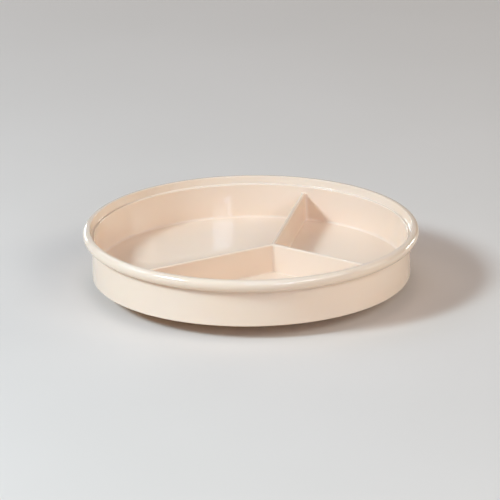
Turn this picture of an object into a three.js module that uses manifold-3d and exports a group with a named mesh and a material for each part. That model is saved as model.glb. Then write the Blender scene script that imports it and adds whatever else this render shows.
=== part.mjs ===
// Divided lazy susan: a moulded tray with three compartments that turns on a caged ball
// bearing over a smaller moulded base. Millimetres, +Z up, the table at z = 0, the spin axis
// on Z, the front towards -Y.
import * as THREE from 'three';
import { mergeVertices } from 'three/addons/utils/BufferGeometryUtils.js';
import Module from 'manifold-3d';

const wasm = await Module();
wasm.setup();

// ---------------------------------------------------------------- driving dimensions
// Tray
const TRAY_RADIUS = 126.3; // outside of the side wall at its foot
const TRAY_HEIGHT = 39.1; // lower edge of the skirt to the top of the rim
const SIDE_WALL = 2.2; // thickness of the side wall
const SIDE_DRAFT = 0.3; // how far the side wall leans out over its height
const FLOOR = 2.2; // thickness of the tray's floor
const SKIRT = 2.7; // how far the side wall reaches below the floor
const SKIRT_ROUND = 0.7; // rounding of the skirt's lower edge
const FLOOR_FILLET = 1.9; // between the floor and whatever stands on it
const CORNER = 2.2; // radius of the upright corners of the compartments
const TRAY_RIBS = 12; // stiffening ribs under the floor, on both sides of the ball track
const TRAY_RIB = 1.5; // their thickness
const TRAY_RIB_DEPTH = 1.7; // their height
// Rolled rim
const LEDGE_DEPTH = 6.1; // from the top of the rim down to the inner ledge
const LEDGE_WIDTH = 2.1; // the inner ledge, across
const RIM_FLARE = 1.45; // how far the rim's inner face leans out above the ledge
const RIM_BEAD = 5.4; // width of the bead outside that inner face
const BEAD_ROUND = 4; // radius of the bead above its widest place
const BEAD_UNDER = 6.3; // radius of the bead below its widest place
const BEAD_WRAP = 61; // degrees the bead carries on below its widest place
const LIP = 1.6; // thickness of the bead's shell and of the rim's riser
// Dividers
const DIVIDER_HEIGHT = 22.8; // above the floor
const DIVIDER_TOP = 3; // thickness at the top
const DIVIDER_DRAFT = 0.45; // how much each face leans out down to the floor
const DIVIDER_ROUND = 0.8; // rounding of the top edges
const JUNCTION = [17.5, -10.1]; // where the dividers' middle planes meet
const DIVIDER_HEADINGS = [-35.9, 78.5, 210.7]; // degrees from +X: short, back and front-left
// Ball bearing
const RACE_RADIUS = 72; // circle of the ball centres
const BALL_RADIUS = 3.175; // quarter-inch balls
const BALL_COUNT = 12;
const BALL_CLEARANCE = 0.2; // between a ball and the tracks or its pocket
const RACE_OPENING = 2.8; // height left between the upper and the lower track's ribs
const RACE_RIB = 1.8; // thickness of the ribs that flank each track
const CAGE_THICKNESS = 2.3;
const CAGE_PAD = 5.6; // radius of the cage's pad round each ball
const CAGE_BAND = 4.4; // width of the cage's ring between pads
// Base
const BASE_FLANGE = 14; // how far the base reaches outside the ball circle
const BASE_PLATE = 2; // thickness of the base's plate
const BASE_DEPTH = 4; // height of the rim and ribs below the plate
const BASE_WALL = 1.8; // thickness of the base's rim, hub, collars and ribs
const BASE_ROUND = 1.4; // rounding of the base's upper edge
const RIB_STEP = 0.8; // how far the ribs stop short of the rim's lower edge
// Feet
const FOOT_COUNT = 6;
const FOOT_RADIUS = 7;
const FOOT_STANDOFF = 1.4; // how far the feet hold the base off the table
const FOOT_BEVEL = 0.6;
const SEAT_GAP = 0.1; // between pieces that are seated on each other
// Pivot
const BOSS_RADIUS = 7; // the tray's pivot boss
const RUNNING_GAP = 0.3; // round the boss and above the washer
const HUB_HEIGHT = 5.5; // the base's hub above its plate
const WASHER_OVERLAP = 2.6; // how far the washer reaches under the hub
const WASHER_THICKNESS = 1.2;
const SCREW_RADIUS = 1.9;
const SCREW_LENGTH = 9;
const HEAD_RADIUS = 3.8;
const HEAD_HEIGHT = 2.3;
const RECESS_WIDTH = 0.9; // the cross recess in the screw's head
const RECESS_DEPTH = 1.3;

// Facets
const ROUND_FINE = 60; // around the tray and the base
const ROUND_MEDIUM = 20; // around the feet, the collars and the pivot
const ROUND_BALL = 12;
const FILLET_STEPS = 3;
const EDGE_STEPS = 2;
const CORNER_STEPS = 3;
const TRACK_STEPS = 4;

// ---------------------------------------------------------------- the stack, from the table up
const baseBottom = FOOT_STANDOFF;
const plateBottom = baseBottom + BASE_DEPTH;
const plateTop = plateBottom + BASE_PLATE;
const ballHeight = plateTop + BALL_CLEARANCE + BALL_RADIUS;
const floorBottom = ballHeight + BALL_RADIUS + BALL_CLEARANCE;
const floorTop = floorBottom + FLOOR;
const skirtBottom = floorBottom - SKIRT;
const rimTop = skirtBottom + TRAY_HEIGHT;
const ledgeTop = rimTop - LEDGE_DEPTH;
const dividerTop = floorTop + DIVIDER_HEIGHT;
const trackRadius = BALL_RADIUS + BALL_CLEARANCE;
const baseRadius = RACE_RADIUS + BASE_FLANGE;
const hubBore = BOSS_RADIUS + RUNNING_GAP;
const hubRadius = hubBore + BASE_WALL;
const innerTop = TRAY_RADIUS + SIDE_DRAFT - SIDE_WALL; // inside of the side wall at the ledge
const innerFoot = TRAY_RADIUS - SIDE_WALL; // inside of the side wall at the floor
const ledgeOuter = innerTop + LEDGE_WIDTH;

// ---------------------------------------------------------------- shape helpers
const rad = THREE.MathUtils.degToRad;

// Points of an arc in the (radius, height) plane, both ends included; angles in degrees.
function arc(r, z, radius, from, to, steps) {
  return Array.from({ length: steps + 1 }, (_, i) => {
    const a = rad(from + ((to - from) * i) / steps);
    return [r + radius * Math.cos(a), z + radius * Math.sin(a)];
  });
}

// Turns a profile of [radius, height] points about Z. It runs anticlockwise.
function revolve(profile, segments) {
  const points = profile.map(([r, z]) => new THREE.Vector2(r, z));
  return new THREE.LatheGeometry(points, segments).rotateX(Math.PI / 2);
}

// The same for a ring: its profile closes on itself.
const revolveRing = (profile, segments) => revolve([...profile, profile[0]], segments);

// A sphere with its poles on Z.
const sphere = (radius) =>
  new THREE.SphereGeometry(radius, ROUND_BALL, ROUND_BALL / 2).rotateX(Math.PI / 2);

// A closed skin through anticlockwise rings of [x, y, z] points, from the lowest ring up.
function loft(rings) {
  const count = rings[0].length;
  const index = [];
  for (let ring = 0; ring + 1 < rings.length; ring += 1) {
    for (let i = 0; i < count; i += 1) {
      const a = ring * count + i;
      const b = ring * count + ((i + 1) % count);
      index.push(a, b, b + count, a, b + count, a + count);
    }
  }
  const lid = (ring) =>
    THREE.ShapeUtils.triangulateShape(ring.map(([x, y]) => new THREE.Vector2(x, y)), []);
  const top = (rings.length - 1) * count;
  for (const [a, b, c] of lid(rings[0])) index.push(a, c, b);
  for (const [a, b, c] of lid(rings.at(-1))) index.push(top + a, top + b, top + c);
  const geometry = new THREE.BufferGeometry();
  geometry.setAttribute('position', new THREE.Float32BufferAttribute(rings.flat(2), 3));
  geometry.setIndex(index);
  return geometry;
}

// three.js geometry to a manifold-3d solid.
function solid(geometry) {
  const bare = geometry.clone();
  for (const name of Object.keys(bare.attributes)) {
    if (name !== 'position') bare.deleteAttribute(name);
  }
  const merged = mergeVertices(bare, 1e-4);
  const index = merged.index.array;
  const kept = [];
  for (let i = 0; i < index.length; i += 3) {
    const [a, b, c] = [index[i], index[i + 1], index[i + 2]];
    if (a !== b && b !== c && c !== a) kept.push(a, b, c);
  }
  const vertProperties = new Float32Array(merged.attributes.position.array);
  const triVerts = new Uint32Array(kept);
  return new wasm.Manifold(new wasm.Mesh({ numProp: 3, vertProperties, triVerts }));
}

// A manifold-3d solid back to three.js geometry.
function geometryOf(made) {
  const mesh = made.getMesh();
  const geometry = new THREE.BufferGeometry();
  geometry.setAttribute('position', new THREE.BufferAttribute(mesh.vertProperties, 3));
  geometry.setIndex(new THREE.BufferAttribute(mesh.triVerts, 1));
  geometry.computeVertexNormals();
  return geometry;
}

const union = (solids) => solids.reduce((all, next) => all.add(next));
const cut = (body, tools) => tools.reduce((left, tool) => left.subtract(tool), body);

// Calls make(angle, number) for each of count places round the Z axis.
function around(count, make, first = 0) {
  return Array.from({ length: count }, (_, i) => make(first + (2 * Math.PI * i) / count, i + 1));
}

// ---------------------------------------------------------------- compartments
const headings = DIVIDER_HEADINGS.map(rad);
const towards = (heading) => new THREE.Vector2(Math.cos(heading), Math.sin(heading));
const junction = new THREE.Vector2(...JUNCTION);

// Inside of the side wall, and half a divider's thickness, at a height.
function wallAt(z) {
  return innerFoot + (SIDE_DRAFT * (z - floorTop)) / (ledgeTop - floorTop);
}

function halfDividerAt(z) {
  return DIVIDER_TOP / 2 + (DIVIDER_DRAFT * (dividerTop - z)) / DIVIDER_HEIGHT;
}

// The levels a compartment is lofted through, from its floor up: the fillet, the straight
// sides, the rounding over the dividers' edges, and a last one well above them.
function compartmentLevels() {
  const fillet = Array.from({ length: FILLET_STEPS + 1 }, (_, i) => {
    const a = (Math.PI / 2) * (i / FILLET_STEPS);
    const z = floorTop + FLOOR_FILLET * (1 - Math.cos(a));
    const inset = FLOOR_FILLET * (1 - Math.sin(a));
    return { z, face: halfDividerAt(z) + inset, wall: wallAt(z) - inset, corner: CORNER - inset };
  });
  const rounding = Array.from({ length: EDGE_STEPS + 1 }, (_, i) => {
    const a = (Math.PI / 2) * (i / EDGE_STEPS);
    const z = dividerTop - DIVIDER_ROUND * (1 - Math.sin(a));
    const ease = DIVIDER_ROUND * (1 - Math.cos(a));
    return { z, face: halfDividerAt(z) - ease, wall: wallAt(z), corner: CORNER + ease };
  });
  const top = rounding.at(-1);
  return [...fillet, ...rounding, { ...top, z: top.z + 1, wall: top.wall - 0.2 }];
}

// Centre of the corner between the side wall and the divider on a heading; side is 1 when the
// compartment is to the left of that divider, -1 when it is to the right.
function wallCorner(heading, side, { face, wall, corner }) {
  const start = towards(heading + (side * Math.PI) / 2)
    .multiplyScalar(face + corner)
    .add(junction);
  const along = towards(heading);
  const lean = start.dot(along);
  const travel = -lean + Math.sqrt(lean ** 2 + (wall - corner) ** 2 - start.lengthSq());
  const centre = start.add(along.multiplyScalar(travel));
  const turn = Math.atan2(centre.y, centre.x) - heading;
  return { centre, bearing: heading + Math.atan2(Math.sin(turn), Math.cos(turn)) };
}

// Directions of the wall's facet edges that lie between two dividers at every level.
function wallBearings(first, last, levels) {
  const pitch = (2 * Math.PI) / ROUND_FINE;
  const starts = levels.map((level) => wallCorner(first, 1, level).bearing);
  const ends = levels.map((level) => wallCorner(last, -1, level).bearing);
  const from = Math.ceil(Math.max(...starts) / pitch + 0.2);
  const to = Math.floor(Math.min(...ends) / pitch - 0.2);
  return Array.from({ length: to - from + 1 }, (_, i) => (from + i) * pitch);
}

// The closed outline of the compartment between two dividers at one level, anticlockwise.
function compartmentOutline(first, last, level, bearings) {
  const { z, face, wall, corner } = level;
  const apex = towards((first + last) / 2)
    .multiplyScalar((face + corner) / Math.sin((last - first) / 2))
    .add(junction);
  const near = wallCorner(first, 1, level);
  const far = wallCorner(last, -1, level);
  const round = (centre, from, to) =>
    Array.from({ length: CORNER_STEPS + 1 }, (_, i) =>
      towards(from + ((to - from) * i) / CORNER_STEPS).multiplyScalar(corner).add(centre));
  return [
    ...round(apex, last + Math.PI / 2, first + 1.5 * Math.PI),
    ...round(near.centre, first - Math.PI / 2, near.bearing),
    ...bearings.map((bearing) => towards(bearing).multiplyScalar(wall)),
    ...round(far.centre, far.bearing, last + Math.PI / 2),
  ].map(({ x, y }) => [x, y, z]);
}

function compartment(first, last) {
  const levels = compartmentLevels();
  const bearings = wallBearings(first, last, levels);
  return loft(levels.map((level) => compartmentOutline(first, last, level, bearings)));
}

// ---------------------------------------------------------------- tray
// The riser above the ledge and the rolled bead outside it, as one stretch of the outer profile.
function rimProfile() {
  const innerLip = ledgeOuter + RIM_FLARE;
  const beadCentre = innerLip + RIM_BEAD - BEAD_ROUND;
  const beadHeight = rimTop - BEAD_ROUND;
  const underCentre = innerLip + RIM_BEAD - BEAD_UNDER;
  const bore = BEAD_ROUND - LIP;
  const shell = BEAD_UNDER - LIP / 2;
  const endRadius = underCentre + shell * Math.cos(rad(BEAD_WRAP));
  const endHeight = beadHeight - shell * Math.sin(rad(BEAD_WRAP));
  const stepBottom = ledgeTop - SIDE_WALL;
  return [
    [innerTop + SIDE_WALL, stepBottom],
    [ledgeOuter + LIP, stepBottom],
    [innerLip + LIP * 0.5, beadHeight + bore * 0.85],
    ...arc(beadCentre, beadHeight, bore, 50, 0, 2),
    ...arc(underCentre, beadHeight, BEAD_UNDER - LIP, 0, -BEAD_WRAP, 2).slice(1),
    ...arc(endRadius, endHeight, LIP / 2, -BEAD_WRAP - 180, -BEAD_WRAP, 2).slice(1),
    ...arc(underCentre, beadHeight, BEAD_UNDER, -BEAD_WRAP, 0, 3).slice(1),
    ...arc(beadCentre, beadHeight, BEAD_ROUND, 0, 90, 4).slice(1),
  ];
}

// The upper ball track: two ribs under the floor and the groove between them.
function upperTrack() {
  const ribEnd = ballHeight + RACE_OPENING / 2;
  const edge = THREE.MathUtils.radToDeg(Math.asin(RACE_OPENING / 2 / trackRadius));
  const groove = arc(RACE_RADIUS, ballHeight, trackRadius, 180 - edge, edge, TRACK_STEPS);
  return [
    [groove[0][0] - RACE_RIB, floorBottom],
    [groove[0][0] - RACE_RIB, ribEnd],
    ...groove,
    [groove.at(-1)[0] + RACE_RIB, ribEnd],
    [groove.at(-1)[0] + RACE_RIB, floorBottom],
  ];
}

// The tray's block, filled to the rim, with its underside finished.
function trayBlock() {
  const bossEnd = plateBottom - RUNNING_GAP + SEAT_GAP;
  const pilotRadius = SCREW_RADIUS + SEAT_GAP;
  const pilotTop = bossEnd + SCREW_LENGTH;
  return revolve(
    [
      [0, pilotTop],
      [pilotRadius, pilotTop],
      [pilotRadius, bossEnd],
      [BOSS_RADIUS, bossEnd],
      [BOSS_RADIUS, floorBottom],
      ...upperTrack(),
      [innerFoot, floorBottom],
      [innerFoot, skirtBottom],
      ...arc(TRAY_RADIUS - SKIRT_ROUND, skirtBottom + SKIRT_ROUND, SKIRT_ROUND, -90, 0, 2),
      ...rimProfile(),
      [0, rimTop],
    ],
    ROUND_FINE,
  );
}

// Everything inside the side wall and the rim, above the dividers.
function spaceAboveDividers() {
  const above = rimTop + 2;
  const flareAbove = (RIM_FLARE * (above - ledgeTop)) / LEDGE_DEPTH;
  return revolve(
    [
      [0, dividerTop],
      [wallAt(dividerTop), dividerTop],
      [innerTop, ledgeTop - 0.5],
      [innerTop + 0.5, ledgeTop],
      [ledgeOuter, ledgeTop],
      [ledgeOuter + flareAbove, above],
      [0, above],
    ],
    ROUND_FINE,
  );
}

// A straight rib under the floor, between two radii.
function trayRib(angle, from, to) {
  const height = TRAY_RIB_DEPTH + FLOOR / 2;
  return new THREE.BoxGeometry(to - from, TRAY_RIB, height)
    .translate((from + to) / 2, 0, floorBottom - TRAY_RIB_DEPTH + height / 2)
    .rotateZ(angle);
}

function trayGeometry() {
  const [short, back, front] = headings;
  const spaces = [
    compartment(short, back),
    compartment(back, front),
    compartment(front, short + 2 * Math.PI),
    spaceAboveDividers(),
  ];
  const trackHalf = trackRadius + RACE_RIB / 2;
  const innerRibs = around(TRAY_RIBS, (angle) =>
    solid(trayRib(angle, hubRadius + 2, RACE_RADIUS - trackHalf)));
  const outerRibs = around(TRAY_RIBS, (angle) =>
    solid(trayRib(angle, RACE_RADIUS + trackHalf, TRAY_RADIUS - SIDE_WALL / 2)));
  const body = cut(solid(trayBlock()), spaces.map(solid));
  return geometryOf(union([body, ...innerRibs, ...outerRibs]));
}

// ---------------------------------------------------------------- base
const washerRadius = hubBore + WASHER_OVERLAP;
const recessRadius = washerRadius + 1.5; // inside of the ring round the washer
const collarBore = FOOT_RADIUS + SEAT_GAP;
const collarRadius = collarBore + BASE_WALL;
const footCircle = baseRadius - BASE_WALL - collarRadius - 1;

// The lower ball track: two ribs on the plate and the groove between them, from outside in.
function lowerTrack() {
  const ribTop = ballHeight - RACE_OPENING / 2;
  const edge = THREE.MathUtils.radToDeg(Math.asin(RACE_OPENING / 2 / trackRadius));
  const groove = arc(RACE_RADIUS, ballHeight, trackRadius, -edge, edge - 180, TRACK_STEPS);
  return [
    [groove[0][0] + RACE_RIB, plateTop],
    [groove[0][0] + RACE_RIB, ribTop],
    ...groove,
    [groove.at(-1)[0] - RACE_RIB, ribTop],
    [groove.at(-1)[0] - RACE_RIB, plateTop],
  ];
}

function baseDish() {
  const round = arc(baseRadius - BASE_ROUND, plateTop - BASE_ROUND, BASE_ROUND, 0, 90, 2);
  return revolveRing(
    [
      [hubBore, plateBottom],
      [baseRadius - BASE_WALL, plateBottom],
      [baseRadius - BASE_WALL, baseBottom],
      [baseRadius, baseBottom],
      ...round,
      ...lowerTrack(),
      [hubRadius, plateTop],
      [hubRadius, plateTop + HUB_HEIGHT],
      [hubBore, plateTop + HUB_HEIGHT],
    ],
    ROUND_FINE,
  );
}

// A tube under the plate; it bites half-way into the plate so that the two fuse.
function tube(bore, outside, bottom) {
  const top = plateBottom + BASE_PLATE / 2;
  const profile = [[bore, bottom], [outside, bottom], [outside, top], [bore, top]];
  return revolveRing(profile, ROUND_MEDIUM);
}

// A straight rib under the plate, from the ring round the washer to the base's rim.
function baseRib(angle) {
  const start = recessRadius + BASE_WALL / 2;
  const length = baseRadius - BASE_WALL / 2 - start;
  const height = BASE_DEPTH - RIB_STEP + BASE_PLATE / 2;
  return new THREE.BoxGeometry(length, BASE_WALL, height)
    .translate(start + length / 2, 0, baseBottom + RIB_STEP + height / 2)
    .rotateZ(angle);
}

function baseGeometry() {
  const ring = tube(recessRadius, recessRadius + BASE_WALL, baseBottom + RIB_STEP);
  const collars = around(FOOT_COUNT, (angle) =>
    solid(tube(0.5, collarRadius, baseBottom).translate(footCircle, 0, 0).rotateZ(angle)));
  const pockets = around(FOOT_COUNT, (angle) =>
    solid(revolve(
      [[0, 0], [collarBore, 0], [collarBore, plateBottom], [0, plateBottom]],
      ROUND_MEDIUM,
    ).translate(footCircle, 0, 0).rotateZ(angle)));
  const ribs = around(FOOT_COUNT, (angle) => solid(baseRib(angle)), Math.PI / FOOT_COUNT);
  const body = union([solid(baseDish()), solid(ring), ...ribs, ...collars]);
  return geometryOf(cut(body, pockets));
}

// ---------------------------------------------------------------- bearing, feet and pivot
function cageGeometry() {
  const low = ballHeight - CAGE_THICKNESS / 2;
  const high = ballHeight + CAGE_THICKNESS / 2;
  const inside = RACE_RADIUS - CAGE_BAND / 2;
  const outside = RACE_RADIUS + CAGE_BAND / 2;
  const band = revolveRing([[inside, low], [outside, low], [outside, high], [inside, high]], ROUND_FINE);
  const pads = around(BALL_COUNT, (angle) => {
    const pad = revolve([[0, low], [CAGE_PAD, low], [CAGE_PAD, high], [0, high]], 16);
    return solid(pad.translate(RACE_RADIUS, 0, 0).rotateZ(angle));
  });
  const pockets = around(BALL_COUNT, (angle) => {
    return solid(sphere(trackRadius).translate(RACE_RADIUS, 0, ballHeight).rotateZ(angle));
  });
  return geometryOf(cut(union([solid(band), ...pads]), pockets));
}

// A foot stands in its collar, with its lower edge bevelled.
function footGeometry() {
  const top = plateBottom - SEAT_GAP;
  return revolve(
    [[0, 0], [FOOT_RADIUS - FOOT_BEVEL, 0], [FOOT_RADIUS, FOOT_BEVEL], [FOOT_RADIUS, top], [0, top]],
    ROUND_MEDIUM,
  );
}

const washerTop = plateBottom - RUNNING_GAP;
const headTop = washerTop - WASHER_THICKNESS - SEAT_GAP;

function washerGeometry() {
  const bore = SCREW_RADIUS + RUNNING_GAP;
  const bottom = washerTop - WASHER_THICKNESS;
  const profile = [[bore, bottom], [washerRadius, bottom], [washerRadius, washerTop], [bore, washerTop]];
  return revolveRing(profile, ROUND_MEDIUM);
}

// A pan-head screw driven up into the boss, with a cross recess in its head.
function screwGeometry() {
  const bottom = headTop - HEAD_HEIGHT;
  const tip = washerTop + SCREW_LENGTH - 1;
  const crown = HEAD_HEIGHT * 0.5;
  const body = revolve(
    [
      [0, bottom],
      ...arc(HEAD_RADIUS - crown, bottom + crown, crown, -90, 0, 3),
      [HEAD_RADIUS, headTop],
      [SCREW_RADIUS, headTop],
      [SCREW_RADIUS, tip - SCREW_RADIUS],
      [0, tip],
    ],
    ROUND_MEDIUM,
  );
  const bars = [0, Math.PI / 2].map((angle) =>
    solid(new THREE.BoxGeometry(HEAD_RADIUS * 1.2, RECESS_WIDTH, RECESS_DEPTH * 2)
      .rotateZ(angle)
      .translate(0, 0, bottom)));
  return geometryOf(cut(solid(body), bars));
}

// ---------------------------------------------------------------- materials
const almond = new THREE.MeshStandardMaterial({ color: 0xecd6bd, roughness: 0.28, metalness: 0 });
const almondMatte = new THREE.MeshStandardMaterial({ color: 0xe6cfb4, roughness: 0.5, metalness: 0 });
const acetal = new THREE.MeshStandardMaterial({ color: 0xefece2, roughness: 0.45, metalness: 0 });
const steel = new THREE.MeshStandardMaterial({ color: 0xc4c8cc, roughness: 0.15, metalness: 1 });
const zinc = new THREE.MeshStandardMaterial({ color: 0xb7bbb9, roughness: 0.35, metalness: 1 });
const rubber = new THREE.MeshStandardMaterial({ color: 0x56524d, roughness: 0.85, metalness: 0 });

// ---------------------------------------------------------------- the assembly
const turntable = new THREE.Group();

function place(name, geometry, material) {
  const mesh = new THREE.Mesh(geometry, material);
  mesh.name = name;
  turntable.add(mesh);
  return mesh;
}

const twoDigits = (number) => String(number).padStart(2, '0');

place('tray', trayGeometry(), almond);
place('base', baseGeometry(), almondMatte);
place('ball_cage', cageGeometry(), acetal);
place('pivot_washer', washerGeometry(), zinc);
place('pivot_screw', screwGeometry(), zinc);

const ballShape = sphere(BALL_RADIUS);
around(BALL_COUNT, (angle, number) => {
  const ball = place('ball_' + twoDigits(number), ballShape, steel);
  ball.position.set(RACE_RADIUS * Math.cos(angle), RACE_RADIUS * Math.sin(angle), ballHeight);
  ball.rotation.z = angle;
});

const footShape = footGeometry();
around(FOOT_COUNT, (angle, number) => {
  const foot = place('foot_' + number, footShape, rubber);
  foot.position.set(footCircle * Math.cos(angle), footCircle * Math.sin(angle), 0);
  foot.rotation.z = angle;
});

export default turntable;
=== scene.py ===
import math

import bmesh
import bpy
from mathutils import Matrix, Vector


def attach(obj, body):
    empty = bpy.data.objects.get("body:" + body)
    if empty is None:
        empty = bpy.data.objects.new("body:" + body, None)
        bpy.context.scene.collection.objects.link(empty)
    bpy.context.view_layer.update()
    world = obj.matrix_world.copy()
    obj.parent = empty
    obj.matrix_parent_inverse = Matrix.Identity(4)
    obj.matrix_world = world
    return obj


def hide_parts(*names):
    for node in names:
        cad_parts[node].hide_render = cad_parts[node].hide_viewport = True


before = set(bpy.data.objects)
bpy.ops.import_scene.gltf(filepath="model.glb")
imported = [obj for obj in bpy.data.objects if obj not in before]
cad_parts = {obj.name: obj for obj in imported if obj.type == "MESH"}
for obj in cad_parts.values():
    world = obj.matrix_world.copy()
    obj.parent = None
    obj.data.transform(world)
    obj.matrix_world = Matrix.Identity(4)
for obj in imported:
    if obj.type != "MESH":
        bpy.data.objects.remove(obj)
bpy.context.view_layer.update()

rad = math.radians
TAU = 2 * math.pi

# ------------------------------------------------------------ sizes, in millimetres
MM = 0.001
TRAY_RADIUS, TRAY_HEIGHT, SIDE_WALL, SIDE_DRAFT = 126.3, 39.1, 2.2, 0.3
FLOOR, SKIRT, FLOOR_FILLET, CORNER = 2.2, 2.7, 1.9, 2.2
TRAY_RIBS, TRAY_RIB, TRAY_RIB_DEPTH = 12, 1.5, 1.7
HUB_CLEARANCE, SKIRT_LAP = 2.0, 0.8  # a tray rib's inner end to the hub, its outer end in the wall
LEDGE_DEPTH, LEDGE_WIDTH, RIM_FLARE = 6.1, 2.1, 1.45
RIM_BEAD, BEAD_ROUND, BEAD_UNDER, BEAD_WRAP, LIP = 5.4, 4.0, 6.3, 61.0, 1.6  # the wrap in degrees
DIVIDER_HEIGHT, DIVIDER_TOP, DIVIDER_DRAFT, DIVIDER_ROUND = 22.8, 3.0, 0.45, 1.25
FACE_SHARE = 0.3  # width of the fillet at a divider's foot, as a share of the one at the wall
JUNCTION, DIVIDER_HEADINGS = (17.5, -10.1), (-35.9, 78.5, 210.7)  # headings in degrees
RACE_RADIUS, BALL_RADIUS, BALL_COUNT, BALL_CLEARANCE = 72.0, 3.175, 12, 0.2
RACE_OPENING, RACE_RIB = 2.8, 1.8
CAGE_THICKNESS, CAGE_PAD, CAGE_BAND, CAGE_BEVEL = 2.3, 5.6, 4.4, 0.25
BASE_FLANGE, BASE_PLATE, BASE_DEPTH, BASE_WALL, BASE_ROUND = 14.0, 2.0, 4.0, 1.8, 1.4
RIB_STEP, RIB_SINK, COLLAR_SINK = 0.8, 0.7, 0.6  # a sink is how far a piece runs into its plate
RING_MARGIN, COLLAR_MARGIN = 1.5, 1.0  # from the washer to its ring, from a collar to the rim
FOOT_COUNT, FOOT_RADIUS, FOOT_STANDOFF, SEAT_GAP = 6, 7.0, 1.4, 0.1
FOOT_DISH, DISH_SLOPE, FOOT_TREAD = 0.35, 0.6, 2.4
BOSS_RADIUS, RUNNING_GAP, HUB_HEIGHT = 7.0, 0.3, 5.5
WASHER_OVERLAP, WASHER_THICKNESS = 2.6, 1.2
SCREW_RADIUS, SCREW_LENGTH, HEAD_RADIUS, HEAD_HEIGHT, TIP_GAP = 1.9, 9.0, 3.8, 2.3, 1.0
RECESS_LENGTH, RECESS_WIDTH, RECESS_DEPTH = 1.2 * HEAD_RADIUS, 0.9, 1.3

base_bottom = FOOT_STANDOFF
plate_bottom = base_bottom + BASE_DEPTH
plate_top = plate_bottom + BASE_PLATE
ball_height = plate_top + BALL_CLEARANCE + BALL_RADIUS
floor_bottom = ball_height + BALL_RADIUS + BALL_CLEARANCE
floor_top = floor_bottom + FLOOR
skirt_bottom = floor_bottom - SKIRT
rim_top = skirt_bottom + TRAY_HEIGHT
ledge_top = rim_top - LEDGE_DEPTH
divider_top = floor_top + DIVIDER_HEIGHT
track_radius = BALL_RADIUS + BALL_CLEARANCE
race_edge = math.degrees(math.asin(RACE_OPENING / 2 / track_radius))
race_inner = RACE_RADIUS - track_radius * math.cos(rad(race_edge))
race_outer = RACE_RADIUS + track_radius * math.cos(rad(race_edge))
base_radius = RACE_RADIUS + BASE_FLANGE
inner_top = TRAY_RADIUS + SIDE_DRAFT - SIDE_WALL
inner_foot = TRAY_RADIUS - SIDE_WALL
ledge_outer = inner_top + LEDGE_WIDTH
hub_bore = BOSS_RADIUS + RUNNING_GAP
hub_radius = hub_bore + BASE_WALL
washer_radius = hub_bore + WASHER_OVERLAP
recess_radius = washer_radius + RING_MARGIN
collar_bore = FOOT_RADIUS + SEAT_GAP
collar_radius = collar_bore + BASE_WALL
foot_circle = base_radius - BASE_WALL - collar_radius - COLLAR_MARGIN
washer_top = plate_bottom - RUNNING_GAP
head_top = washer_top - WASHER_THICKNESS - SEAT_GAP

# ------------------------------------------------------------ how finely things are divided
FACET, ARC_PITCH = 1.12, 12  # degrees: round the tray, and round a profile's small corners
CORNER_STEPS, FACE_STEPS, FILLET_STEPS, EDGE_STEPS, WALL_STEPS = 10, 14, 8, 6, 6
GROOVE_STEPS, SLOT_STEPS, CURL_STEPS, LIP_STEPS, BELLY_STEPS, BEAD_STEPS = 14, 6, 8, 10, 16, 20
BASE_FACETS, CAGE_FACETS, POCKET_FACETS, RING_FACETS, COLLAR_FACETS = 288, 1440, 64, 96, 72
BALL_FACETS, BALL_STEPS, FOOT_FACETS, SCREW_FACETS = 48, 24, 72, 64
SHARP_ANGLE, CAGE_SHARP_ANGLE = 32, 40  # degrees; an edge that turns more shades sharp
MERGE_DISTANCE = 1e-7  # metres
TINY = 1e-6


# ------------------------------------------------------------ profiles and meshes
def evenly(count, first=0.0):
    """Angles spaced evenly round the whole turn."""
    return [first + TAU * i / count for i in range(count)]


def quarter(steps):
    """Angles from 0 to 90 degrees."""
    return [rad(90 * i / steps) for i in range(steps + 1)]


def polar(radius, angle, z=0.0):
    return Vector((radius * math.cos(angle), radius * math.sin(angle), z))


def arc(r, z, radius, start, end, steps):
    """Points of an arc in the (radius, height) plane; angles in degrees."""
    angles = [rad(start + (end - start) * i / steps) for i in range(steps + 1)]
    return [(r + radius * math.cos(a), z + radius * math.sin(a)) for a in angles]


def rounded(points, closed=False):
    """A polyline with its corners turned into arcs.

    Its points are (r, z), or (r, z, radius) where the corner is rounded to that radius.
    """
    count, out = len(points), []
    for i, point in enumerate(points):
        inside = closed or 0 < i < count - 1
        if len(point) < 3 or not inside:
            out.append((point[0], point[1]))
            continue
        here = Vector(point[:2])
        before = (Vector(points[i - 1][:2]) - here).normalized()
        after = (Vector(points[(i + 1) % count][:2]) - here).normalized()
        turn = before.angle(after)
        reach = point[2] / math.tan(turn / 2)
        middle = here + (before + after).normalized() * point[2] / math.sin(turn / 2)
        start = here + before * reach - middle
        end = here + after * reach - middle
        sweep = math.atan2(start.x * end.y - start.y * end.x, start.dot(end))
        steps = max(2, math.ceil(math.degrees(abs(sweep)) / ARC_PITCH))
        for k in range(steps + 1):
            a = sweep * k / steps
            x = start.x * math.cos(a) - start.y * math.sin(a)
            y = start.x * math.sin(a) + start.y * math.cos(a)
            out.append((middle.x + x, middle.y + y))
    return out


def supported(points, closed=False, margin=0.14, least=0.7):
    """Adds a point near both ends of each long straight stretch, so that flats shade flat."""
    out = []
    count = len(points)
    for i in range(count):
        out.append(points[i])
        if i == count - 1 and not closed:
            break
        a, b = Vector(points[i]), Vector(points[(i + 1) % count])
        if (b - a).length > least:
            step = (b - a).normalized() * margin
            out += [tuple(a + step), tuple(b - step)]
    return out


def smooth_object(name, mesh, sharp_angle):
    """Puts a mesh in the scene, smooth but for the edges that turn by more than an angle."""
    for polygon in mesh.polygons:
        polygon.use_smooth = True
    mesh.set_sharp_from_angle(angle=rad(sharp_angle))
    made = bpy.data.objects.new(name, mesh)
    bpy.context.scene.collection.objects.link(made)
    return made


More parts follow.
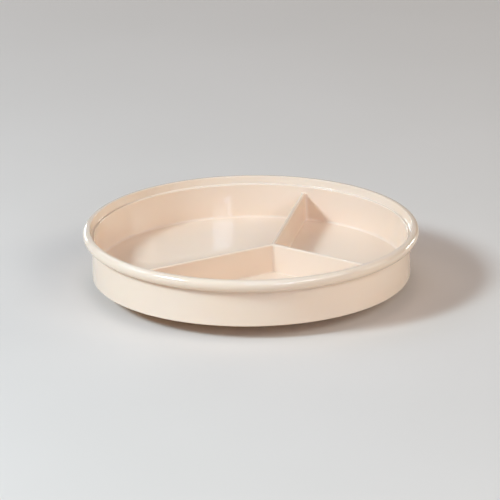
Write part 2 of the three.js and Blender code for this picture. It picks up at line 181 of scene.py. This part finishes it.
class Skin:
    """A mesh in the making. Points come in millimetres and are kept in metres."""

    def __init__(self):
        self.bm = bmesh.new()

    def ring(self, points):
        return [self.bm.verts.new(Vector(p) * MM) for p in points]

    def band(self, low, high, closed=True):
        """Quads between two rings of as many points."""
        count = len(low)
        for i in range(count if closed else count - 1):
            j = (i + 1) % count
            self.bm.faces.new((low[i], low[j], high[j], high[i]))

    def fan(self, ring, point):
        """Triangles from a ring to a new point."""
        tip = self.bm.verts.new(Vector(point) * MM)
        for i, vert in enumerate(ring):
            self.bm.faces.new((vert, ring[(i + 1) % len(ring)], tip))

    def lid(self, ring):
        """One flat face."""
        self.bm.faces.new(ring)

    def cover(self, ring, shares=(0.75, 0.5, 0.25)):
        """A flat floor inside a convex ring, in bands, so that no face is a long sliver."""
        centre = sum((v.co for v in ring), Vector()) / len(ring)
        outer = ring
        for share in shares:
            inner = [self.bm.verts.new(centre.lerp(v.co, share)) for v in ring]
            self.band(inner, outer)
            outer = inner
        self.fan(outer, centre / MM)

    def turned(self, profile, angles, closed=False):
        """The profile turned about Z; a point on the axis closes with a fan."""
        rings = []
        for r, z in profile:
            if r < TINY:
                rings.append((0, 0, z))
            else:
                rings.append(self.ring([polar(r, a, z) for a in angles]))
        pairs = list(zip(rings, rings[1:]))
        if closed:
            pairs.append((rings[-1], rings[0]))
        for low, high in pairs:
            if isinstance(low, tuple):
                self.fan(high, low)
            elif isinstance(high, tuple):
                self.fan(low, high)
            else:
                self.band(low, high)
        return rings

    def hoop(self, profile, count):
        """A closed profile turned about Z, with its corners rounded."""
        profile = supported(rounded(profile, closed=True), closed=True)
        return self.turned(profile, evenly(count), closed=True)

    def block(self, size, matrix, bevel):
        """A rounded bar as its own closed island."""
        made = bmesh.new()
        bmesh.ops.create_cube(made, size=1, matrix=matrix @ Matrix.Diagonal((*size, 1)))
        bmesh.ops.bevel(
            made, geom=list(made.edges), offset=bevel, segments=2, profile=0.5, affect="EDGES"
        )
        made.verts.ensure_lookup_table()
        copies = {v: self.bm.verts.new(v.co * MM) for v in made.verts}
        for face in made.faces:
            self.bm.faces.new([copies[v] for v in face.verts])
        made.free()

    def spoke(self, angle, start, end, width, bottom, height, bevel):
        """A rounded bar that runs outwards between two radii."""
        middle = Matrix.Translation(((start + end) / 2, 0, bottom + height / 2))
        place = Matrix.Rotation(angle, 4, "Z") @ middle
        self.block((end - start, width, height), place, bevel)

    def move(self, offset):
        bmesh.ops.translate(self.bm, verts=self.bm.verts, vec=offset * MM)

    def object(self, name):
        bmesh.ops.remove_doubles(self.bm, verts=self.bm.verts, dist=MERGE_DISTANCE)
        bmesh.ops.recalc_face_normals(self.bm, faces=self.bm.faces)
        mesh = bpy.data.meshes.new(name)
        self.bm.to_mesh(mesh)
        self.bm.free()
        return smooth_object(name, mesh, SHARP_ANGLE)


def evaluated_mesh(thing):
    """The mesh that an object gives once its modifiers or curve settings are applied."""
    graph = bpy.context.evaluated_depsgraph_get()
    return bpy.data.meshes.new_from_object(thing.evaluated_get(graph))


# ------------------------------------------------------------ materials
MIDDLE = (0.3, 0.7)  # the part of a noise's range where most of its values lie


def tinted(colour, *factors):
    """A colour times one factor, or times one for each channel, and no more than 1."""
    if len(factors) == 1:
        factors *= 3
    return tuple(min(1, c * k) for c, k in zip(colour, factors))


class Nodes:
    """A short way to write a node tree: every call adds a node and returns its output."""

    def __init__(self, name):
        self.material = bpy.data.materials.new(name)
        self.material.use_nodes = True
        self.tree = self.material.node_tree
        self.shader = self.tree.nodes["Principled BSDF"]
        coordinate = self.tree.nodes.new("ShaderNodeTexCoord")
        self.place = coordinate.outputs["Object"]

    def link(self, source, socket):
        self.tree.links.new(source, socket)

    def drive(self, name, source):
        """Links a source to one of the shader's sockets."""
        self.link(source, self.shader.inputs[name])

    def set(self, **values):
        """Sets the shader's own sockets; an underscore stands for a space."""
        for name, value in values.items():
            self.shader.inputs[name.replace("_", " ")].default_value = value

    def stretched(self, scale):
        node = self.tree.nodes.new("ShaderNodeMapping")
        node.inputs["Scale"].default_value = scale
        self.link(self.place, node.inputs["Vector"])
        return node.outputs["Vector"]

    def noise(self, scale, detail, roughness=0.5, vector=None, distortion=0.0):
        node = self.tree.nodes.new("ShaderNodeTexNoise")
        node.inputs["Scale"].default_value = scale
        node.inputs["Detail"].default_value = detail
        node.inputs["Roughness"].default_value = roughness
        node.inputs["Distortion"].default_value = distortion
        self.link(vector or self.place, node.inputs["Vector"])
        return node.outputs["Fac"]

    def ramp(self, source, low, high, start, end):
        """Maps the range start to end onto low to high."""
        node = self.tree.nodes.new("ShaderNodeMapRange")
        node.inputs["From Min"].default_value = start
        node.inputs["From Max"].default_value = end
        node.inputs["To Min"].default_value = low
        node.inputs["To Max"].default_value = high
        self.link(source, node.inputs["Value"])
        return node.outputs["Result"]

    def math(self, operation, first, second):
        node = self.tree.nodes.new("ShaderNodeMath")
        node.operation = operation
        for socket, value in zip(node.inputs, (first, second)):
            if isinstance(value, (int, float)):
                socket.default_value = value
            else:
                self.link(value, socket)
        return node.outputs["Value"]

    def mix(self, amount, first, second):
        """Mixes two colours, each a tuple or another node's output."""
        node = self.tree.nodes.new("ShaderNodeMix")
        node.data_type = "RGBA"
        self.link(amount, node.inputs["Factor"])
        for name, value in (("A", first), ("B", second)):
            socket = next(s for s in node.inputs if s.name == name and s.type == "RGBA")
            if isinstance(value, tuple):
                socket.default_value = (*value, 1)
            else:
                self.link(value, socket)
        return next(s for s in node.outputs if s.type == "RGBA")

    def bump(self, height, distance, strength=1.0, under=None):
        node = self.tree.nodes.new("ShaderNodeBump")
        node.inputs["Distance"].default_value = distance
        node.inputs["Strength"].default_value = strength
        self.link(height, node.inputs["Height"])
        if under:
            self.link(under, node.inputs["Normal"])
        return node.outputs["Normal"]


def moulded_plastic(name, colour, roughness, grain=0.0):
    """Injection-moulded plastic: faint flow tones, hairline scuffs and a soft, wavy gloss."""
    n = Nodes(name)
    flow = n.noise(7.0, detail=4, vector=n.stretched((1, 1, 2.5)), distortion=0.6)
    mottle = n.noise(90.0, detail=3, roughness=0.6)
    warm, pale = tinted(colour, 1.02, 1.0, 0.97), tinted(colour, 0.985, 0.99, 1.0)
    tone = n.mix(n.ramp(flow, 0, 1, *MIDDLE), warm, pale)
    n.drive("Base Color", n.mix(n.ramp(mottle, 0, 0.05, 0.35, 0.75), tone, tinted(colour, 0.9)))
    hairs = [
        n.noise(320.0, detail=2, roughness=0.4, vector=n.stretched(scale), distortion=0.4)
        for scale in ((1, 0.06, 1), (0.08, 1, 1))
    ]
    scuff = n.ramp(n.math("MAXIMUM", *hairs), 0, 1, 0.68, 0.78)
    worn = n.math("MULTIPLY", scuff, n.ramp(n.noise(22.0, detail=2), 0, 1, 0.52, 0.8))
    swing = 0.025
    cloud = n.ramp(n.noise(30.0, detail=5), roughness - swing, roughness + swing, *MIDDLE)
    n.drive("Roughness", n.math("ADD", cloud, n.math("MULTIPLY", worn, 0.07)))
    surface = n.bump(n.noise(26.0, detail=1, roughness=0.3), 0.00035)
    surface = n.bump(n.noise(900.0, detail=2), 0.000012, under=surface)
    if grain:
        surface = n.bump(n.noise(2600.0, detail=2), 0.00003, strength=grain, under=surface)
    n.drive("Normal", n.bump(worn, -0.000004, under=surface))
    n.set(IOR=1.58, Subsurface_Weight=0.12, Subsurface_Scale=0.003)
    n.set(Subsurface_Radius=(1.0, 0.62, 0.36))
    return n.material


def polished_metal(name, colour, roughness, brushed):
    """Metal with fine specks, drawn out into brush marks where brushed is over 1."""
    n = Nodes(name)
    speck = n.noise(700.0, detail=4, vector=n.stretched((1, 1, brushed)))
    n.drive("Base Color", n.mix(n.ramp(speck, 0, 1, *MIDDLE), colour, tinted(colour, 0.86)))
    haze = n.noise(250.0, detail=4)
    n.drive("Roughness", n.ramp(haze, roughness * 0.7, roughness * 1.5, *MIDDLE))
    n.drive("Normal", n.bump(speck, 0.000006))
    n.set(Metallic=1.0)
    return n.material


def dusty_rubber(name):
    n = Nodes(name)
    dust = n.ramp(n.noise(140.0, detail=6, roughness=0.65), 0, 0.6, 0.45, 0.75)
    n.drive("Base Color", n.mix(dust, (0.035, 0.033, 0.031), (0.11, 0.1, 0.09)))
    n.drive("Roughness", n.ramp(n.noise(400.0, detail=4), 0.62, 0.86, *MIDDLE))
    n.drive("Normal", n.bump(n.noise(3200.0, detail=3), 0.00005))
    return n.material


ALMOND = (0.90, 0.69, 0.522)
almond = moulded_plastic("almond_gloss", ALMOND, 0.1)
almond_satin = moulded_plastic("almond_satin", tinted(ALMOND, 0.97), 0.38, grain=0.5)
acetal = moulded_plastic("acetal_white", (0.83, 0.81, 0.74), 0.42, grain=0.3)
ball_steel = polished_metal("ball_steel", (0.62, 0.63, 0.65), 0.07, 1)
zinc = polished_metal("bright_zinc", (0.58, 0.6, 0.6), 0.26, 9)
rubber = dusty_rubber("foot_rubber")


def finish_piece(piece, material, node, body):
    piece.data.materials.clear()
    piece.data.materials.append(material)
    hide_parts(node)
    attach(piece, body)


# ------------------------------------------------------------ tray
junction = Vector(JUNCTION)
headings = [rad(h) for h in DIVIDER_HEADINGS]
spans = list(zip(headings, [headings[1], headings[2], headings[0] + TAU]))


def towards(heading):
    """The unit vector of a heading, from +X towards +Y."""
    return Vector((math.cos(heading), math.sin(heading)))


def wall_at(z):
    """The radius of the side wall's inner face at a height."""
    return inner_foot + SIDE_DRAFT * (z - floor_top) / (ledge_top - floor_top)


def half_divider_at(z):
    """Half a divider's thickness at a height, with its draft."""
    return DIVIDER_TOP / 2 + DIVIDER_DRAFT * (divider_top - z) / DIVIDER_HEIGHT


def level(z, inset=0.0, ease=0.0):
    """The compartments' faces at a height: inset by a fillet, or eased out over an edge.

    The fillet at a divider's foot is tighter across than the one at the side wall.
    """
    return {
        "z": z,
        "face": half_divider_at(z) + inset * FACE_SHARE - ease,
        "wall": wall_at(z) - inset,
        "corner": CORNER - inset + ease,
    }


def compartment_levels(border=0.2, above_fillet=0.3, below_edge=0.2):
    """Levels from the flat floor up to the dividers' tops.

    The margins set off the flat floor and the straight faces from what curves beside them.
    """
    foot, head = floor_top + FLOOR_FILLET, divider_top - DIVIDER_ROUND
    levels = [level(floor_top, FLOOR_FILLET + border)]
    for a in quarter(FILLET_STEPS):
        rise, inset = FLOOR_FILLET * (1 - math.cos(a)), FLOOR_FILLET * (1 - math.sin(a))
        levels.append(level(floor_top + rise, inset))
    levels.append(level(foot + above_fillet))
    levels += [level(foot + (head - foot) * i / WALL_STEPS) for i in range(1, WALL_STEPS)]
    levels.append(level(head - below_edge))
    for a in quarter(EDGE_STEPS):
        drop, ease = DIVIDER_ROUND * (1 - math.sin(a)), DIVIDER_ROUND * (1 - math.cos(a))
        levels.append(level(divider_top - drop, ease=ease))
    return levels


def wall_corner(heading, side, at):
    """Centre of a corner at the side wall, and the bearing where it meets that wall."""
    reach = at["face"] + at["corner"]
    start = towards(heading + side * math.pi / 2) * reach + junction
    lean = start.dot(towards(heading))
    hoop = at["wall"] - at["corner"]
    travel = -lean + math.sqrt(lean**2 + hoop**2 - start.length_squared)
    centre = start + towards(heading) * travel
    turn = math.atan2(centre.y, centre.x) - heading
    return centre, heading + math.atan2(math.sin(turn), math.cos(turn))


def corner(centre, at, start, end):
    """A compartment's upright corner at a level, turned about its centre."""
    angles = [start + (end - start) * i / CORNER_STEPS for i in range(CORNER_STEPS + 1)]
    return [centre + towards(a) * at["corner"] for a in angles]


def bearings_between(start, end):
    """Bearings about FACET apart."""
    count = max(2, round(math.degrees(end - start) / FACET))
    return [start + (end - start) * i / count for i in range(count + 1)]


def between(start, end):
    """Points on a divider's face, without its ends."""
    return [start.lerp(end, i / FACE_STEPS) for i in range(1, FACE_STEPS)]


def outline(span, at, grid=None):
    """One compartment's outline at a level, anticlockwise from the junction.

    Returns its points, the number of the point where the side wall starts and that wall's
    bearings. A grid is another level's bearings, which this level's are spaced like.
    """
    first, last = span
    reach = (at["face"] + at["corner"]) / math.sin((last - first) / 2)
    apex = towards((first + last) / 2) * reach
    near, near_bearing = wall_corner(first, 1, at)
    far, far_bearing = wall_corner(last, -1, at)
    grid = grid or bearings_between(near_bearing, far_bearing)
    shares = [(g - grid[0]) / (grid[-1] - grid[0]) for g in grid]
    bearings = [near_bearing + (far_bearing - near_bearing) * s for s in shares]
    hub_round = corner(junction + apex, at, last + math.pi / 2, first + 1.5 * math.pi)
    near_round = corner(near, at, first - math.pi / 2, bearings[0])
    far_round = corner(far, at, bearings[-1], last + math.pi / 2)
    before = [*hub_round, *between(hub_round[-1], near_round[0]), *near_round]
    wall = [towards(b) * at["wall"] for b in bearings[1:-1]]
    points = [*before, *wall, *far_round, *between(far_round[-1], hub_round[0])]
    return [(p.x, p.y, at["z"]) for p in points], len(before) - 1, bearings


def tray_profile():
    """The tray's outer skin, from the pilot hole under its middle to the wall at divider_top."""
    boss_end = plate_bottom - RUNNING_GAP + SEAT_GAP
    pilot = SCREW_RADIUS + SEAT_GAP
    pilot_top = boss_end + SCREW_LENGTH
    rib_end = ball_height + RACE_OPENING / 2
    inner_lip = ledge_outer + RIM_FLARE
    bead_centre = inner_lip + RIM_BEAD - BEAD_ROUND
    bead_height = rim_top - BEAD_ROUND
    under_centre = inner_lip + RIM_BEAD - BEAD_UNDER
    bore = BEAD_ROUND - LIP
    step_bottom = ledge_top - SIDE_WALL
    under = rounded(
        [
            (0, pilot_top),
            (pilot, pilot_top, 0.3),
            (pilot, boss_end, 0.3),
            (BOSS_RADIUS, boss_end, 0.5),
            (BOSS_RADIUS, floor_bottom, 0.9),
            (race_inner - RACE_RIB, floor_bottom, 0.6),
            (race_inner - RACE_RIB, rib_end, 0.4),
            (race_inner, rib_end),
        ]
    )
    groove = arc(
        RACE_RADIUS, ball_height, track_radius, 180 - race_edge, race_edge, GROOVE_STEPS
    )
    middle = rounded(
        [
            (race_outer, rib_end),
            (race_outer + RACE_RIB, rib_end, 0.4),
            (race_outer + RACE_RIB, floor_bottom, 0.6),
            (inner_foot, floor_bottom, 0.8),
            (inner_foot, skirt_bottom, 0.55),
            (TRAY_RADIUS, skirt_bottom, 0.8),
            (inner_top + SIDE_WALL, step_bottom, 0.35),
            (ledge_outer + LIP, step_bottom, 0.4),
            (inner_lip + LIP * 0.5, bead_height + bore * 0.85),
        ]
    )
    slot = arc(bead_centre, bead_height, bore, 50, 0, SLOT_STEPS)
    curl = arc(under_centre, bead_height, BEAD_UNDER - LIP, 0, -BEAD_WRAP, CURL_STEPS)
    end = arc(under_centre, bead_height, BEAD_UNDER - LIP / 2, -BEAD_WRAP, 0, 1)[0]
    lip = arc(*end, LIP / 2, -BEAD_WRAP - 180, -BEAD_WRAP, LIP_STEPS)
    belly = arc(under_centre, bead_height, BEAD_UNDER, -BEAD_WRAP, 0, BELLY_STEPS)
    bead = arc(bead_centre, bead_height, BEAD_ROUND, 0, 90, BEAD_STEPS)
    inside = rounded(
        [
            bead[-1],
            (inner_lip, rim_top, 0.45),
            (ledge_outer, ledge_top, 0.7),
            (inner_top, ledge_top, 0.75),
            (wall_at(divider_top), divider_top),
        ]
    )
    rim = [*slot[1:], *curl[1:], *lip[1:], *belly[1:], *bead[1:]]
    return supported([*under, *groove[1:], *middle[1:], *rim, *inside[1:]])


def build_tray():
    """The outer skin, the three compartments, the dividers' tops between them, and the ribs."""
    skin = Skin()
    levels = compartment_levels()
    tops = {span: outline(span, levels[-1])[2] for span in spans}
    circle, gaps = [], {}  # a gap is the stretch of wall that a divider takes after its span
    for index, span in enumerate(spans):
        following = tops[spans[(index + 1) % 3]][0] + (TAU if index == 2 else 0)
        gaps[span] = bearings_between(tops[span][-1], following)[1:-1]
        circle += [*tops[span], *gaps[span]]
    skin.turned(tray_profile(), circle)
    hub, sides = [], []  # the tops' edge round the junction, and beside each divider going out
    for span in spans:
        outlines = [outline(span, at, tops[span]) for at in levels]
        rings = [skin.ring(points) for points, _, _ in outlines]
        for low, high in zip(rings, rings[1:]):
            skin.band(low, high)
        skin.cover(rings[0])
        top, wall_start = rings[-1], outlines[-1][1]
        wall_end = wall_start + len(tops[span]) - 1
        hub += reversed(top[: CORNER_STEPS + 1])
        sides.append((top[CORNER_STEPS : wall_start + 1], [top[0], *reversed(top[wall_end:])]))
    skin.fan(hub, (*junction, divider_top))
    for index, span in enumerate(spans):
        left, right = sides[index][1], sides[(index + 1) % 3][0]
        skin.band(left, right, closed=False)
        end = [polar(wall_at(divider_top), b, divider_top) for b in gaps[span]]
        skin.lid([left[-1], *skin.ring(end), right[-1]])
    half = track_radius + RACE_RIB / 2
    bottom, height = floor_bottom - TRAY_RIB_DEPTH, TRAY_RIB_DEPTH + RIB_SINK
    for angle in evenly(TRAY_RIBS):
        for start, end in (
            (hub_radius + HUB_CLEARANCE, RACE_RADIUS - half),
            (RACE_RADIUS + half, inner_foot + SKIRT_LAP),
        ):
            skin.spoke(angle, start, end, TRAY_RIB, bottom, height, bevel=0.3)
    return skin.object("tray_moulding")


finish_piece(build_tray(), almond, "tray", "tray")


# ------------------------------------------------------------ base
def base_tube(skin, bore, outside, bottom, count):
    """A short tube that hangs from the plate: the ring round the washer or a foot's collar."""
    top = plate_bottom + COLLAR_SINK
    return skin.hoop(
        [(bore, bottom, 0.45), (outside, bottom, 0.45), (outside, top), (bore, top)], count
    )


def build_base():
    skin = Skin()
    rib_top = ball_height - RACE_OPENING / 2
    outer = [
        (hub_bore, plate_bottom, 0.3),
        (base_radius - BASE_WALL, plate_bottom, 0.7),
        (base_radius - BASE_WALL, base_bottom, 0.5),
        (base_radius, base_bottom, 0.5),
        (base_radius, plate_top, BASE_ROUND),
        (race_outer + RACE_RIB, plate_top, 0.6),
        (race_outer + RACE_RIB, rib_top, 0.4),
        (race_outer, rib_top),
    ]
    groove = arc(
        RACE_RADIUS, ball_height, track_radius, -race_edge, race_edge - 180, GROOVE_STEPS
    )
    inner = [
        (race_inner, rib_top),
        (race_inner - RACE_RIB, rib_top, 0.4),
        (race_inner - RACE_RIB, plate_top, 0.6),
        (hub_radius, plate_top, 0.8),
        (hub_radius, plate_top + HUB_HEIGHT, 0.5),
        (hub_bore, plate_top + HUB_HEIGHT, 0.5),
    ]
    skin.hoop([*outer, *groove[1:-1], *inner], BASE_FACETS)
    ring_bottom = base_bottom + RIB_STEP
    base_tube(skin, recess_radius, recess_radius + BASE_WALL, ring_bottom, RING_FACETS)
    for angle in evenly(FOOT_COUNT):
        for ring in base_tube(skin, collar_bore, collar_radius, base_bottom, COLLAR_FACETS):
            for vert in ring:
                vert.co += polar(foot_circle, angle) * MM
    start, end = recess_radius + BASE_WALL / 2, base_radius - BASE_WALL / 2
    height = BASE_DEPTH - RIB_STEP + RIB_SINK
    for angle in evenly(FOOT_COUNT, math.pi / FOOT_COUNT):
        skin.spoke(angle, start, end, BASE_WALL, ring_bottom, height, bevel=0.35)
    return skin.object("base_moulding")


finish_piece(build_base(), almond_satin, "base", "base")


# ------------------------------------------------------------ bearing
def cage_reach(theta, outwards):
    """The cage's edge at an angle: the band, or the round pad where that stands proud."""
    band = RACE_RADIUS + (CAGE_BAND / 2 if outwards else -CAGE_BAND / 2)
    pitch = TAU / BALL_COUNT
    off = (theta + pitch / 2) % pitch - pitch / 2
    side = CAGE_PAD**2 - (RACE_RADIUS * math.sin(off)) ** 2
    if side <= 0:
        return band
    swell = math.sqrt(side) * (1 if outwards else -1)
    pad = RACE_RADIUS * math.cos(off) + swell
    return max(band, pad) if outwards else min(band, pad)


def build_cage():
    """A flat outline with its pockets, extruded and bevelled as a filled curve."""
    curve = bpy.data.curves.new("cage", "CURVE")
    curve.dimensions = "2D"
    curve.fill_mode = "BOTH"
    curve.extrude = (CAGE_THICKNESS / 2 - CAGE_BEVEL) * MM
    curve.bevel_depth = CAGE_BEVEL * MM
    curve.bevel_resolution = 2
    curve.offset = -CAGE_BEVEL * MM
    loops = [
        [towards(a) * cage_reach(a, outwards) for a in evenly(CAGE_FACETS)]
        for outwards in (True, False)
    ]
    for angle in evenly(BALL_COUNT):
        centre = towards(angle) * RACE_RADIUS
        loops.append([centre + towards(a) * track_radius for a in evenly(POCKET_FACETS)])
    for loop in loops:
        spline = curve.splines.new("POLY")
        spline.points.add(len(loop) - 1)
        for point, (x, y) in zip(spline.points, loop):
            point.co = (x * MM, y * MM, 0, 1)
        spline.use_cyclic_u = True
    holder = bpy.data.objects.new("cage_curve", curve)
    bpy.context.scene.collection.objects.link(holder)
    mesh = evaluated_mesh(holder)
    bpy.data.objects.remove(holder)
    mesh.name = "cage_moulding"
    mesh.transform(Matrix.Translation((0, 0, ball_height * MM)))
    return smooth_object("cage_moulding", mesh, CAGE_SHARP_ANGLE)


finish_piece(build_cage(), acetal, "ball_cage", "cage")

for number, angle in enumerate(evenly(BALL_COUNT), 1):
    skin = Skin()
    profile = arc(0, 0, BALL_RADIUS, -90, 90, BALL_STEPS)
    profile[0], profile[-1] = (0, -BALL_RADIUS), (0, BALL_RADIUS)
    skin.turned(profile, evenly(BALL_FACETS))
    skin.move(polar(RACE_RADIUS, angle, ball_height))
    node = f"ball_{number:02d}"
    finish_piece(skin.object("steel_" + node), ball_steel, node, node)


# ------------------------------------------------------------ feet and pivot
for number, angle in enumerate(evenly(FOOT_COUNT), 1):
    skin = Skin()
    top = plate_bottom - SEAT_GAP
    profile = rounded(
        [
            (0, FOOT_DISH),
            (FOOT_RADIUS - FOOT_TREAD - DISH_SLOPE, FOOT_DISH, 0.5),
            (FOOT_RADIUS - FOOT_TREAD, 0, 0.4),
            (FOOT_RADIUS, 0, 0.75),
            (FOOT_RADIUS, top, 0.3),
            (0, top),
        ]
    )
    skin.turned(supported(profile), evenly(FOOT_FACETS))
    skin.move(polar(foot_circle, angle))
    foot = skin.object(f"rubber_foot_{number}")
    finish_piece(foot, rubber, f"foot_{number}", "base")


def build_washer():
    skin = Skin()
    bore, bottom = SCREW_RADIUS + RUNNING_GAP, washer_top - WASHER_THICKNESS
    skin.hoop(
        [
            (bore, bottom, 0.15),
            (washer_radius, bottom, 0.3),
            (washer_radius, washer_top, 0.15),
            (bore, washer_top, 0.15),
        ],
        RING_FACETS,
    )
    return skin.object("zinc_washer")


finish_piece(build_washer(), zinc, "pivot_washer", "tray")


def build_screw():
    """A pan-head screw, head down, with a cross recess cut into its head."""
    skin = Skin()
    bottom = head_top - HEAD_HEIGHT
    tip = washer_top + SCREW_LENGTH - TIP_GAP
    profile = rounded(
        [
            (0, bottom),
            (HEAD_RADIUS, bottom, HEAD_HEIGHT / 2),
            (HEAD_RADIUS, head_top, 0.2),
            (SCREW_RADIUS, head_top, 0.2),
            (SCREW_RADIUS, tip - SCREW_RADIUS, 0.3),
            (0, tip),
        ]
    )
    skin.turned(supported(profile), evenly(SCREW_FACETS))
    screw = skin.object("pan_head_screw")
    cutter = Skin()
    for angle in (0, math.pi / 2):
        place = Matrix.Rotation(angle, 4, "Z") @ Matrix.Translation((0, 0, bottom))
        cutter.block((RECESS_LENGTH, RECESS_WIDTH, RECESS_DEPTH * 2), place, bevel=0.12)
    bars = cutter.object("recess_bars")
    cut = screw.modifiers.new("recess", "BOOLEAN")
    cut.object = bars
    cut.operation = "DIFFERENCE"
    cut.solver = "EXACT"
    cut.use_self = True
    mesh = evaluated_mesh(screw)
    screw.modifiers.clear()
    screw.data = mesh
    mesh.set_sharp_from_angle(angle=rad(SHARP_ANGLE))
    bpy.data.objects.remove(bars)
    return screw


finish_piece(build_screw(), zinc, "pivot_screw", "tray")

# ------------------------------------------------------------ stage, in metres
STAGE_RADIUS, STAGE_FACETS = 2.2, 128


def stage_floor():
    """A pale grey disc; its warm colour turns grey under the bluish lights."""
    bm = bmesh.new()
    bmesh.ops.create_circle(bm, cap_ends=True, segments=STAGE_FACETS, radius=STAGE_RADIUS)
    mesh = bpy.data.meshes.new("studio_floor")
    bm.to_mesh(mesh)
    bm.free()
    made = bpy.data.objects.new("studio_floor", mesh)
    bpy.context.scene.collection.objects.link(made)
    n = Nodes("studio_floor")
    tone = n.ramp(n.noise(3.0, detail=2), 0, 1, *MIDDLE)
    n.drive("Base Color", n.mix(tone, (0.745, 0.64, 0.545), (0.775, 0.665, 0.57)))
    n.set(Roughness=0.75)
    mesh.materials.append(n.material)


def studio_world():
    """A faint warm fill, and past the floor's edge a pale backdrop that lights nothing."""
    world = bpy.data.worlds.new("studio")
    bpy.context.scene.world = world
    world.use_nodes = True
    tree = world.node_tree
    fill = tree.nodes["Background"]
    fill.inputs["Color"].default_value = (1.0, 0.6, 0.45, 1)
    fill.inputs["Strength"].default_value = 0.1
    backdrop = tree.nodes.new("ShaderNodeBackground")
    backdrop.inputs["Color"].default_value = (0.66, 0.65, 0.64, 1)
    seen = tree.nodes.new("ShaderNodeLightPath").outputs["Is Camera Ray"]
    mixed = tree.nodes.new("ShaderNodeMixShader")
    for socket, source in zip(mixed.inputs, (seen, fill.outputs[0], backdrop.outputs[0])):
        tree.links.new(source, socket)
    tree.links.new(mixed.outputs[0], tree.nodes["World Output"].inputs["Surface"])


stage_floor()
studio_world()

# ------------------------------------------------------------ lights
LIGHTS = (  # name, azimuth, elevation, distance, width and height, watts, colour
    ("key_core", -59, 37, 2.4, (0.45, 0.45), 31.7, (0.6, 0.83, 1.0)),
    ("key_edge", -66, 39, 2.4, (0.4, 0.5), 23.5, (0.58, 0.79, 1.0)),
    ("window_strip", 22, 20.5, 3.0, (0.76, 0.28), 12.6, (0.64, 0.8, 1.0)),
    ("front_soft", 8, 38, 3.0, (1.0, 0.5), 8.3, (0.76, 0.84, 1.0)),
    ("front_right", 36, 33, 3.0, (0.9, 0.5), 9.1, (0.83, 0.93, 1.0)),
    ("broad_right", 55, 40, 2.4, (1.2, 0.9), 11.1, (0.87, 0.95, 1.0)),
    ("side_right", 90, 18, 2.6, (1.0, 0.9), 8.9, (0.94, 1.0, 0.9)),
    ("side_left", -95, 35, 2.4, (0.8, 0.9), 8.4, (0.6, 0.74, 1.0)),
    ("back_left", -150, 40, 2.4, (1.0, 0.9), 3.3, (0.83, 0.87, 1.0)),
    ("overhead", 0, 80, 2.4, (1.2, 1.2), 5, (0.75, 0.8, 1.0)),
    ("rear_right", 135, 8, 3.0, (0.9, 0.4), 11, (0.9, 1.0, 0.95)),
    ("rear_left", -155, 8, 3.0, (0.9, 0.4), 11, (0.88, 1.0, 0.98)),
)

target = Vector((0, 0, skirt_bottom * MM))


def softbox(name, azimuth, elevation, distance, size, power, colour):
    """An area light seen from the object in a direction; azimuth 0 is the viewer's side."""
    lamp = bpy.data.lights.new(name, "AREA")
    lamp.shape = "RECTANGLE"
    lamp.size, lamp.size_y = size
    lamp.energy = power
    lamp.color = colour
    made = bpy.data.objects.new(name, lamp)
    a, e = rad(azimuth), rad(elevation)
    back = Vector((math.sin(a) * math.cos(e), -math.cos(a) * math.cos(e), math.sin(e)))
    made.location = target + back * distance
    made.rotation_euler = (-back).to_track_quat("-Z", "Y").to_euler()
    bpy.context.scene.collection.objects.link(made)


for light in LIGHTS:
    softbox(*light)

# ------------------------------------------------------------ camera
CAMERA_ELEVATION, CAMERA_DISTANCE, ROLL = 19.32, 4.0005, -0.69  # degrees, metres, degrees
FOCAL, SENSOR, CLIP_END = 361.8, 36, 50
SIDEWAYS, DOWN = 1.4 / 500, 22.7 / 500  # how far the aim is off the target, in picture widths

camera = bpy.data.objects.new("camera", bpy.data.cameras.new("camera"))
bpy.context.scene.collection.objects.link(camera)
camera.data.sensor_width = SENSOR
camera.data.lens = FOCAL
camera.data.clip_end = CLIP_END
pitch = rad(CAMERA_ELEVATION)
camera.location = target + Vector((0, -math.cos(pitch), math.sin(pitch))) * CAMERA_DISTANCE
aim = (target - camera.location).to_track_quat("-Z", "Y").to_matrix().to_4x4()
tilt = Matrix.Rotation(math.atan(DOWN * SENSOR / FOCAL), 4, "X")
pan = Matrix.Rotation(math.atan(SIDEWAYS * SENSOR / FOCAL), 4, "Y")
roll = Matrix.Rotation(rad(ROLL), 4, "Z")
camera.rotation_mode = "QUATERNION"
camera.rotation_quaternion = (aim @ roll @ pan @ tilt).to_quaternion()
bpy.context.scene.camera = camera
bpy.context.scene.view_settings.view_transform = "Standard"
